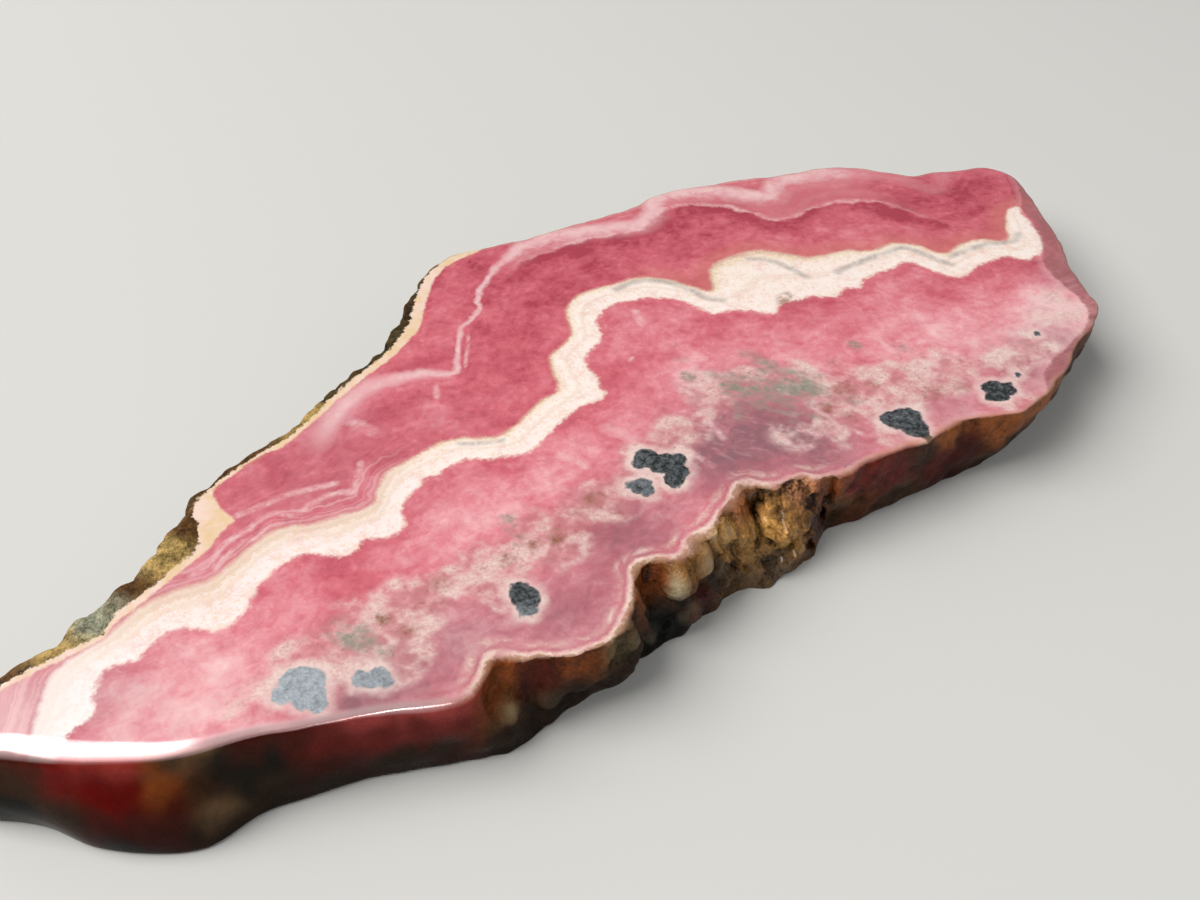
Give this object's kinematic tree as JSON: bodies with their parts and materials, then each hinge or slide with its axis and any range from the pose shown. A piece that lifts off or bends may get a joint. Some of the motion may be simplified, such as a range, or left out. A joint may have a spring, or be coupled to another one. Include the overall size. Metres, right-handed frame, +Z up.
{
  "type": "rhodochrosite slice",
  "caption": "Flat sawn slab of banded pink and cream stone with a polished face, a notched natural wall and rough crust.",
  "frame": {"origin": "centre of the slab's box on the plane that it rests on, at its lower flat face", "axes": "+X along the slab's length towards its broad end, +Y across it towards the arched edge, +Z up out of the polished face"},
  "size_m": [0.1046, 0.0456, 0.0065],
  "materials": {
    "banded_rhodochrosite": "glossy polished rose and cream bands on the faces, dull brown natural skin on much of the wall"
  },
  "bodies": {
    "root": {"rhodochrosite_slice": "banded_rhodochrosite"}
  },
  "joints": []
}
